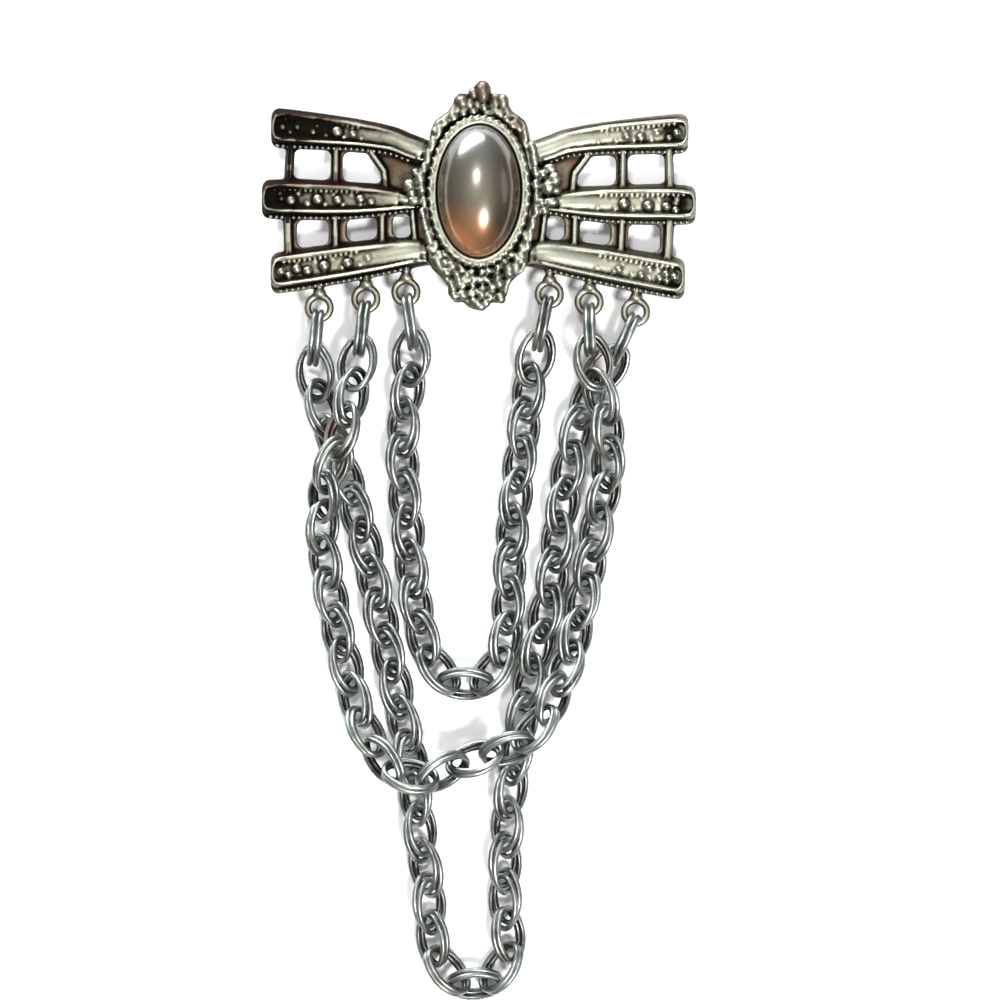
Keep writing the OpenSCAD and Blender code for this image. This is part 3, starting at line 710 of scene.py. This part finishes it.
GRANULES = {
    # x, place across and size
    ("top", 1): [(17.6, 0.50, 0.38), (19.3, 0.44, 0.42), (21.2, 0.56, 0.34)],
    ("middle", 1): [(17.4, 0.50, 0.50), (20.3, 0.46, 0.50), (22.5, 0.44, 0.42), (23.6, 0.36, 0.36)],
    ("bottom", 1): [
        (16.9, 0.46, 0.36), (19.6, 0.42, 0.36), (20.6, 0.60, 0.33), (21.8, 0.42, 0.34), (22.6, 0.56, 0.30),
    ],
    ("top", -1): [(15.2, 0.50, 0.36), (17.1, 0.52, 0.55), (20.0, 0.46, 0.36), (21.8, 0.54, 0.36)],
    ("middle", -1): [
        (12.9, 0.46, 0.38), (14.2, 0.54, 0.40), (16.9, 0.50, 0.42), (19.3, 0.50, 0.52), (22.5, 0.46, 0.50),
    ],
    ("bottom", -1): [
        (13.2, 0.54, 0.36), (15.6, 0.48, 0.48), (18.4, 0.50, 0.50), (20.4, 0.44, 0.44), (21.7, 0.52, 0.44),
    ],
}


# %% Relief of one rib
def rim_paths(rib):
    """The lower rim with half of the turn round the end, and the upper rim with the other half."""
    lower = [rib.at(x, *LOWER_RIM) for x in np.arange(RIM_START, rib.end - RIM_END, RIM_STEP)]
    across, up = UPPER_RIM
    upper = [
        rib.at(x, across, up - max(0, LEVEL_START - x) * RIM_SINK)
        for x in np.arange(TROUGH_START, rib.end - RIM_END, RIM_STEP)
    ]
    lap = []
    for out, across, up in LAP:
        x, y, z = rib.at(rib.end, across, up)
        lap.append((x + out, y, z))
    return lower + lap[:3], lap[2:] + upper[::-1]


def dome(bm, rib, start, side):
    """A round back that is high near the middle of the bow and sinks to a shallow floor between the rims.

    Its lower side is pressed flat, so that it stays inside the rib and the bow's own back stays flat.
    """
    points, radii = [], []
    for x in np.arange(start, rib.end - DOME_END, DOME_STEP):
        radius = rib.width(x) * DOME_SHARE
        x, y, z = rib.at(x, DOME_ACROSS, float(np.interp(x, CREST_AT, CREST)))
        points.append((x * side, y, z - radius))
        radii.append(radius)
    present = set(bm.verts)
    wire(bm, points, radii, segments=32)
    for vert in bm.verts:
        if vert not in present:
            vert.co.z = max(vert.co.z, DOME_FLOOR)


def rib_relief(bm, name, rib, side):
    def at(x, across, up):
        x, y, z = rib.at(x, across, up)
        return (x * side, y, z)

    dome(bm, rib, DOME_START[name], side)
    for path in rim_paths(rib):
        wire(bm, [(x * side, y, z) for x, y, z in path], RIM_R)
    for x in np.arange(GRAIN_START, rib.end - 0.5, GRAIN_STEP):
        ball(bm, at(x, *GRAIN_PLACE), GRAIN)
    for i, x in enumerate(np.arange(PEBBLE_START, rib.end - 1.0, PEBBLE_STEP)):
        ball(bm, at(x, 0.62 if i % 2 else 0.40, PEBBLE_UP), PEBBLE)
    for x, across, size in GRANULES[name, side]:
        ball(bm, at(x, across, GRANULE_UP), (size * GRANULE_LONG, size * GRANULE_WIDE, size * GRANULE_HIGH))


def bead_row(bm, rib, side):
    for x in np.arange(BEAD_START, rib.end + 0.1, BEAD_STEP):
        x, y, z = rib.at(x, *BEAD_PLACE)
        ball(bm, (x * side, y, z), (BEAD_R, BEAD_R, BEAD_R), detail=1)


def loop_relief(bm, side):
    for x, y in LOOPS:
        turns = [math.radians(a) for a in range(0, 361, 15)]
        wire(bm, [(side * x + LOOP_R * math.cos(a), y + LOOP_R * math.sin(a), LOOP_Z) for a in turns], LOOP_WIRE_R)
        ball(bm, (side * x, y + 1.75, LOOP_Z + 0.1), LOOP_STEM)


# %% [markdown]
# ### One wing after the other
#
# The wings differ in their granules and in their dirt, so each is poured apart. Both keep a little of the other
# half of the plate behind the pearl, so the two skins overlap there, out of sight. The beads are too small for the
# voxels, so they are laid on the finished skin.

# %% Pour the bow
SEAM = 0.3
WING_VOXEL, WING_ROUNDS = 0.135, 5


def pour_wing(side):
    """One wing, side 1 for the right and -1 for the left, with a little more than half of the middle plate."""
    bm = start_casting("bow")
    bmesh.ops.bisect_plane(
        bm, geom=bm.verts[:] + bm.edges[:] + bm.faces[:], plane_co=(-SEAM * side, 0, 0), plane_no=(side, 0, 0),
        clear_inner=True,
    )
    bmesh.ops.contextual_create(bm, geom=[e for e in bm.edges if e.is_boundary])
    for name, rib in ribs.items():
        rib_relief(bm, name, rib, side)
    loop_relief(bm, side)
    mesh = pour("wing", bm, WING_VOXEL, WING_ROUNDS)
    strings = bmesh.new()
    strings.from_mesh(mesh)
    for rib in ribs.values():
        bead_row(strings, rib, side)
    strings.to_mesh(mesh)
    strings.free()
    print("wing:", len(mesh.vertices), "points")
    return mesh


wings = {"bow_right_wing": pour_wing(1), "bow_left_wing": pour_wing(-1)}

# %% [markdown]
# ### Tarnish, wear and painted shade on the bow
#
# The hollows are dark with tarnish and the flanks with painted shade, and the small crests have been wiped bright
# even in dirty places. Soot lies on the web and in the pockets inside the end rims, and painted shade lies over the
# left wing, darkest at its ends. The upper edges of the ribs show the warm base metal, on the left wing above all.

# %% Mark a casting
EVEN_METAL, FINE_SHARE, WIPING = 0.36, 8, 12  # the last two for each millimetre
FINE_ROUNDS, BROAD_ROUNDS = 8, 60
STEEP, STEEPEST = 0.82, 0.27  # heights of a normal
WEB_TOP, WEB_BOTTOM = 1.2, 0.8
# Painted shade on the steep flanks, with more on the left wing, and then the wear on the flanks and on the web
FLANK_SHADE, LEFT_FLANK_SHADE, FLANK_WEAR, WEB_WEAR = 0.22, 0.16, 0.15, 0.7


def mark_casting(mesh, soot_and_shade, red, deep):
    """Work out where a casting is dark and where it is worn. A larger deep darkens its broad floors."""
    co, normal = read_vectors(mesh, "co"), read_vectors(mesh, "normal")
    fine, broad = hollow_of(mesh, FINE_ROUNDS), hollow_of(mesh, BROAD_ROUNDS)
    flank = ease(normal[:, 2], STEEP, STEEPEST)
    left = ease(co[:, 0], 3, -13)
    low = ease(co[:, 2], WEB_TOP, WEB_BOTTOM)
    # Patina in the hollows, plus painted shade on the steep flanks that is deeper over the left wing
    measured = EVEN_METAL + fine * FINE_SHARE + broad * deep + flank * (FLANK_SHADE + LEFT_FLANK_SHADE * left)
    mark(mesh, "hollow_and_shade", measured + soot_and_shade(co) * np.clip(1 + fine * WIPING, 0.5, 1))
    worn_flank = flank * (FLANK_WEAR + left) * ease(normal[:, 1], -0.75, 0.25)
    mark(mesh, "worn", worn_flank + low * WEB_WEAR + red(co))
    print("hollows in mm:", [round(float(v), 3) for v in np.percentile(fine, (2, 25, 50, 75, 98))])


# %% Mark the bow
POCKETS = [(22.7, 7.3, 0.8), (24.2, -0.9, 1.0), (23.2, -11.2, 0.7), (-22.9, 7.6, 1.5), (-24.2, -0.8, 1.3)]
BANDS = {"top": (0.36, 0.20), "middle": (0.30, 0.15), "bottom": (0.12, 0.08)}  # left and right wing
BAND_START, BAND_FULL, BAND_BOTTOM = 0.78, 0.86, 1.25
LEFT_RED, RIGHT_RED, BOTTOM_RIB_RED = 0.9, 0.15, 0.3
UPPER_RIBS = -4  # the ribs above this y are the top and the middle ones
# Painted shade over the left wing and at its ends: on the upper ribs and on the bottom one
LEFT_WING_SHADE, END_SHADE = (0.19, 0.09), (0.72, 0.08)  # on the upper ribs and on the bottom one
WEB_SOOT, POCKET_SOOT, LOOP_SOOT, LOOP_REACH = 0.10, 0.40, 0.08, 2.3
DARK_LINE, SMALLEST = 0.17, 0.26


def upper_band(co, rib):
    """How much each point belongs to the strip along the rib's upper edge."""
    x = np.abs(co[:, 0])
    upper, lower = (np.interp(x, rib.rows[:, 0], rib.rows[:, i]) for i in (1, 2))
    share = (co[:, 1] - lower) / (upper - lower)
    on_rib = (share < 1.2) * (x < rib.end + 1) * (co[:, 2] > BAND_BOTTOM)
    return ease(share, BAND_START, BAND_FULL) * on_rib


def bow_red(co):
    """The warm base metal that shows along the upper edges, on the left wing above all."""
    share = np.where(co[:, 0] < 0, LEFT_RED, RIGHT_RED) * np.where(co[:, 1] > UPPER_RIBS, 1, BOTTOM_RIB_RED)
    return sum(upper_band(co, rib) for rib in ribs.values()) * share


def granule_rings(co):
    """The dark line that the dip leaves round every large granule."""
    rings = 0
    for (name, side), granules in GRANULES.items():
        for x, across, size in granules:
            x, y, _ = ribs[name].at(x, across, GRANULE_UP)
            away = np.hypot(co[:, 0] - x * side, co[:, 1] - y)
            rings = rings + np.exp(-(((away - size * GRANULE_WIDE) / DARK_LINE) ** 2)) * (size - SMALLEST)
    return rings


def bow_soot_and_shade(co):
    """Soot on the web, the loops and the pockets inside the end rims, and painted shade over the left wing, darkest at
    its ends.
    """
    x, y = co[:, 0], co[:, 1]
    low = ease(co[:, 2], WEB_TOP, WEB_BOTTOM)
    # Painted shade over the left wing, and deeper still at its ends
    left = ease(x, -4, -12) * np.where(y > UPPER_RIBS, *LEFT_WING_SHADE) * (1 - 0.6 * low)
    dark_from = np.where(y > 3, -16.5, -20.5)  # further in on the top rib
    ends = ease(x, dark_from, dark_from - 4.5) * np.where(y > UPPER_RIBS, *END_SHADE)
    bands = sum(upper_band(co, ribs[name]) * np.where(x < 0, *pair) for name, pair in BANDS.items())
    pockets = sum(np.exp(-((x - px) ** 2 + (y - py) ** 2) / (2 * size**2)) for px, py, size in POCKETS)
    loops = sum(np.hypot(np.abs(x) - lx, y - ly) < LOOP_REACH for lx, ly in LOOPS)
    spots = pockets * POCKET_SOOT + loops * LOOP_SOOT + granule_rings(co)
    return low * WEB_SOOT + left + ends + bands + spots


WING_DEEP = {"bow_right_wing": 0.3, "bow_left_wing": 0.5}
for wing_name, wing in wings.items():
    mark_casting(wing, bow_soot_and_shade, bow_red, WING_DEEP[wing_name])
    finish_piece(wing_name, wing, BOW_PLACE, CAST_SILVER, "bow")

# %% [markdown]
# ## The pearl's setting
#
# Round the pearl runs a rope of slanted grains, then a groove, painted black with shadow on the left, then a border
# of scrolls and beads that ends in a trefoil above and three beaded lobes below. A rope in cast metal isn't
# twisted: the mould has a slanted grain for every strand that would show, so it is a ring of stretched balls. The
# border is too soft in the photograph to tell its scrolls apart, so it is a crowd of lumps, each set where a light
# spot is.

# %% The setting's own relief
PLATE_TOP = 1.98
LOBES = [
    # the finial and its shoulders: x, y, half width, half length, turn in degrees
    (0.35, 11.9, 0.78, 1.15, 0), (-0.8, 11.7, 0.5, 0.65, 20), (-2.15, 10.7, 0.65, 0.7, 20), (-1.25, 10.5, 0.5, 0.6, 0),
    (2.75, 10.8, 0.58, 0.8, 0), (1.85, 10.6, 0.45, 0.6, 0), (0.45, 10.15, 0.42, 0.5, 0), (-0.35, 10.5, 0.35, 0.5, 0),
    (0.95, 9.35, 0.5, 0.4, 0), (1.55, 9.8, 0.3, 0.45, 20), (2.4, 9.5, 0.36, 0.5, 0), (-2.0, 9.4, 0.42, 0.5, 0),
    (-0.8, 9.6, 0.5, 0.45, 0), (3.15, 9.9, 0.32, 0.6, 10), (3.2, 8.7, 0.42, 0.45, 0), (3.9, 8.0, 0.42, 0.48, 20),
    (-3.1, 8.75, 0.5, 0.38, 30), (-2.7, 9.9, 0.34, 0.5, -20), (4.6, 7.9, 0.35, 0.6, 15), (1.9, 11.3, 0.5, 0.35, 0),
    # the left border
    (-4.85, 7.2, 0.4, 0.85, -15), (-4.2, 8.2, 0.5, 0.35, 40), (-5.6, 5.6, 0.36, 0.8, -18), (-6.15, 4.2, 0.34, 0.8, -10),
    (-6.6, 2.7, 0.34, 0.6, -10), (-7.05, 1.5, 0.6, 0.75, 0), (-6.85, 0.2, 0.5, 0.6, 0), (-6.55, -1.3, 0.34, 0.5, 0),
    (-7.8, -1.2, 0.62, 0.52, 0), (-8.1, -0.2, 0.5, 0.5, 0), (-6.75, -2.6, 0.4, 0.5, 10), (-6.4, -4.0, 0.34, 0.7, 12),
    (-5.9, -5.6, 0.5, 0.8, 12), (-5.5, -7.0, 0.6, 0.36, -12), (-4.85, -8.3, 0.5, 0.7, 20),
    # the right border
    (5.45, 6.9, 0.38, 0.9, 8), (6.35, 5.3, 0.45, 0.7, 15), (6.6, 4.0, 0.36, 0.7, 8), (6.75, 2.5, 0.4, 0.6, 0),
    (6.8, 0.9, 0.5, 0.6, 0), (6.9, -0.6, 0.42, 0.7, 0), (6.9, -2.1, 0.45, 0.7, 0), (6.5, -3.6, 0.36, 0.7, -5),
    (6.2, -5.0, 0.36, 0.75, -5), (5.9, -6.4, 0.4, 0.6, -10), (8.2, 1.0, 0.42, 0.6, 0), (9.1, 1.6, 0.72, 0.75, 0),
    (8.5, 2.9, 0.7, 0.5, 0), (8.7, -1.1, 0.8, 0.5, 0), (7.9, -2.2, 0.5, 0.45, 0), (9.2, 0.3, 0.6, 0.45, 0),
    # the foot
    (-3.1, -8.9, 0.62, 0.62, 0), (-1.9, -9.3, 0.28, 0.34, 0), (-1.3, -9.9, 0.32, 0.4, 0), (-0.7, -9.45, 0.28, 0.28, 0),
    (0.45, -9.5, 0.27, 0.33, 0), (1.25, -9.4, 0.42, 0.33, 0), (-1.65, -10.5, 0.34, 0.34, 0),
    (-1.7, -11.15, 0.34, 0.34, 0),
    (2.35, -9.8, 0.3, 0.4, 0), (3.7, -9.1, 0.62, 0.62, 0), (2.6, -11.0, 0.6, 0.56, 0), (-1.75, -12.4, 0.62, 0.55, 0),
    (-0.65, -12.2, 0.3, 0.4, 0), (0.5, -12.3, 0.46, 0.5, 0), (0.65, -11.55, 0.28, 0.34, 0), (1.6, -12.6, 0.36, 0.36, 0),
    (2.8, -12.8, 0.5, 0.5, 0), (0.4, -13.7, 0.62, 0.5, 0), (-0.35, -13.2, 0.45, 0.45, 0), (1.1, -13.3, 0.4, 0.45, 0),
    (-2.5, -9.9, 0.45, 0.4, 0), (-3.0, -11.5, 0.42, 0.8, 20), (0.2, -10.5, 0.4, 0.36, 0), (-0.6, -11.2, 0.3, 0.3, 0),
    (-4.6, -7.7, 0.5, 0.62, -30), (-3.9, -8.6, 0.45, 0.45, 0), (-5.1, -6.5, 0.4, 0.6, -20),
    (-4.2, -9.5, 0.5, 0.45, 0),
    (4.6, -7.7, 0.42, 0.55, 30), (5.25, -6.6, 0.36, 0.55, 20), (4.6, -8.7, 0.45, 0.45, 0), (0.9, -10.4, 0.4, 0.4, 0),
    (-5.5, -5.0, 0.36, 0.6, -14), (5.6, -5.2, 0.34, 0.6, 14), (1.7, -11.4, 0.4, 0.45, 0), (-0.5, -10.4, 0.36, 0.36, 0),
    (-3.9, -7.4, 0.4, 0.45, 0), (-3.2, -8.2, 0.36, 0.36, 0), (3.9, -7.4, 0.4, 0.45, 0), (3.2, -8.25, 0.36, 0.36, 0),
    (2.4, -8.9, 0.34, 0.34, 0), (-2.35, -8.7, 0.3, 0.3, 0), (5.2, -7.5, 0.36, 0.5, 20), (4.0, -10.0, 0.4, 0.4, 0),
]
RIDGES = [
    # smooth polished edges: points and radius
    ([(3.3, 10.0), (3.7, 9.4), (4.4, 8.95), (5.15, 8.4), (5.5, 7.6), (5.5, 6.6)], 0.36),
    ([(-2.75, 11.0), (-2.85, 10.3), (-3.3, 9.5), (-4.2, 8.8), (-5.1, 8.1), (-5.5, 7.2)], 0.30),
    ([(-4.8, -9.3), (-4.0, -10.0), (-3.1, -10.6), (-2.6, -11.1)], 0.26),
    ([(5.6, -7.5), (5.6, -8.6), (5.3, -9.3), (4.5, -9.9), (3.8, -10.5), (3.5, -11.3), (3.3, -12.3)], 0.28),
]
LOBE_UP, RIDGE_UP = 0.30, 0.22
GROW, GROW_SMALL, SMALL, LOBE_HIGH = 1.28, 1.5, 0.36, 1.2
RING_X, RING_Y, RING_UP, RING_R = 5.28, 8.22, 1.32, 0.16
ROPE_X, ROPE_Y, ROPE_UP = 5.84, 8.82, 1.04
ROPE_GRAINS, ROPE_GRAIN, ROPE_SLANT = 46, (0.62, 0.25, 0.48), 0.75


def setting_relief(bm):
    """The border's lumps and edges, and the thin ring against the pearl."""
    for x, y, wide, long, turn in LOBES:
        least = min(wide, long)
        grow = GROW if least > SMALL else GROW_SMALL
        ball(bm, (x, y, PLATE_TOP + LOBE_UP), (wide * grow, long * grow, least * LOBE_HIGH), math.radians(turn))
    for points, radius in RIDGES:
        wire(bm, [(x, y, PLATE_TOP + RIDGE_UP) for x, y in points], radius)
    turns = [math.radians(a) for a in range(0, 361, 6)]
    wire(bm, [(RING_X * math.cos(a), RING_Y * math.sin(a), PLATE_TOP + RING_UP) for a in turns], RING_R)


def rope(bm):
    for i in range(ROPE_GRAINS):
        a = 2 * math.pi * i / ROPE_GRAINS
        x, y = ROPE_X * math.cos(a), ROPE_Y * math.sin(a)
        along = math.atan2(ROPE_Y * math.cos(a), -ROPE_X * math.sin(a))
        ball(bm, (x, y, PLATE_TOP + ROPE_UP), ROPE_GRAIN, along + ROPE_SLANT)


# %% Pour the setting
SETTING_VOXEL, SETTING_ROUNDS = 0.12, 7
setting_form = start_casting("pearl_setting")
setting_relief(setting_form)
rope(setting_form)
setting_mesh = pour("setting", setting_form, SETTING_VOXEL, SETTING_ROUNDS)


# %% Mark the setting
GROOVE_X, GROOVE_Y, GROOVE_AT, GROOVE_WIDTH = 6.15, 9.7, 0.99, 0.05
# The groove's share is painted shadow; the plate's and the top's are soot
PLATE_SOOT, GROOVE_SHADOW, TOP_SOOT = 0.30, 0.5, 0.20
SHOULDER, SHOULDER_SPREAD, SHOULDER_RED, FINIAL_RED = (4.7, 8.3), 1.6, 0.8, 0.6
SETTING_DEEP = 0.7


def setting_soot_and_shadow(co):
    """Soot on the plate and a little at the top, and painted shadow in the groove inside the left border."""
    floor = ease(co[:, 2], PLATE_TOP + 0.25, PLATE_TOP - 0.05)
    from_groove = np.abs(np.hypot(co[:, 0] / GROOVE_X, co[:, 1] / GROOVE_Y) - GROOVE_AT)
    # Painted shadow in the groove inside the left border
    groove = ease(from_groove, GROOVE_WIDTH, 0) * ease(co[:, 0], 0, -2) * ease(co[:, 1], -6.5, -4.5)
    return floor * PLATE_SOOT + groove * GROOVE_SHADOW + ease(co[:, 1], 8.5, 11.5) * TOP_SOOT


def setting_red(co):
    """The warm metal of the finial and of the right shoulder."""
    x, y = SHOULDER
    shoulder = np.exp(-((co[:, 0] - x) ** 2 + (co[:, 1] - y) ** 2) / SHOULDER_SPREAD)
    return ease(co[:, 1], 9.5, 11.5) * FINIAL_RED + shoulder * SHOULDER_RED


mark_casting(setting_mesh, setting_soot_and_shadow, setting_red, SETTING_DEEP)
finish_piece("setting_casting", setting_mesh, BOW_PLACE, CAST_SILVER, "pearl_setting")

# %% [markdown]
# ## The pearl
#
# The cabochon is half of a long egg on a low girdle. A sphere is cut in half and stretched, and the cut edge is
# extruded down to make the girdle and closed below.

# %% The cabochon
PEARL_W, PEARL_L, PEARL_H, GIRDLE, PEARL_Z = 10.1, 16.0, 4.4, 0.6, 2.06


def cabochon():
    bm = bmesh.new()
    bmesh.ops.create_uvsphere(bm, u_segments=96, v_segments=64, radius=1)
    whole = bm.verts[:] + bm.edges[:] + bm.faces[:]
    bmesh.ops.bisect_plane(bm, geom=whole, plane_co=(0, 0, 0), plane_no=(0, 0, 1), clear_inner=True)
    bmesh.ops.scale(bm, vec=(PEARL_W / 2, PEARL_L / 2, PEARL_H), verts=bm.verts)
    edge = [e for e in bm.edges if e.is_boundary]
    skirt = bmesh.ops.extrude_edge_only(bm, edges=edge)["geom"]
    bmesh.ops.translate(bm, vec=(0, 0, -GIRDLE), verts=[g for g in skirt if isinstance(g, bmesh.types.BMVert)])
    bmesh.ops.contextual_create(bm, geom=[e for e in bm.edges if e.is_boundary])
    bmesh.ops.translate(bm, vec=(0, 0, PEARL_Z + GIRDLE), verts=bm.verts)
    bmesh.ops.recalc_face_normals(bm, faces=bm.faces)
    mesh = bpy.data.meshes.new("pearl_cabochon")
    bm.to_mesh(mesh)
    bm.free()
    return mesh


finish_piece("pearl_cabochon", cabochon(), BOW_PLACE, PEARL_LUSTRE, "pearl")

# %% [markdown]
# ## The bar pin
#
# The pin behind the bow is a stock part and hardly shows from the front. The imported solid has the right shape,
# so it stays and only takes a finish.

# %% Finish of the bar pin
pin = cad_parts["bar_pin"]
pin.data.materials.clear()
pin.data.materials.append(CHAIN_SILVER)

# %% [markdown]
# ## The table
#
# A plain pale top catches the soft shadows that show how the chains lie.

# %% Table top
TABLE_HALF = 1.5


def table_top():
    material, tree, shader, where = new_material("pale_table")
    shade = ramp(tree, noise(tree, where, 0.02, detail=2.0), [(0.3, 0.86), (0.7, 0.89)])
    join(tree, (shade, shader.inputs["Base Color"]))
    shader.inputs["Roughness"].default_value = 0.75
    bm = bmesh.new()
    bmesh.ops.create_grid(bm, x_segments=4, y_segments=4, size=TABLE_HALF)
    mesh = bpy.data.meshes.new("table_top")
    bm.to_mesh(mesh)
    bm.free()
    mesh.materials.append(material)
    table = bpy.data.objects.new("table_top", mesh)
    bpy.context.scene.collection.objects.link(table)


table_top()
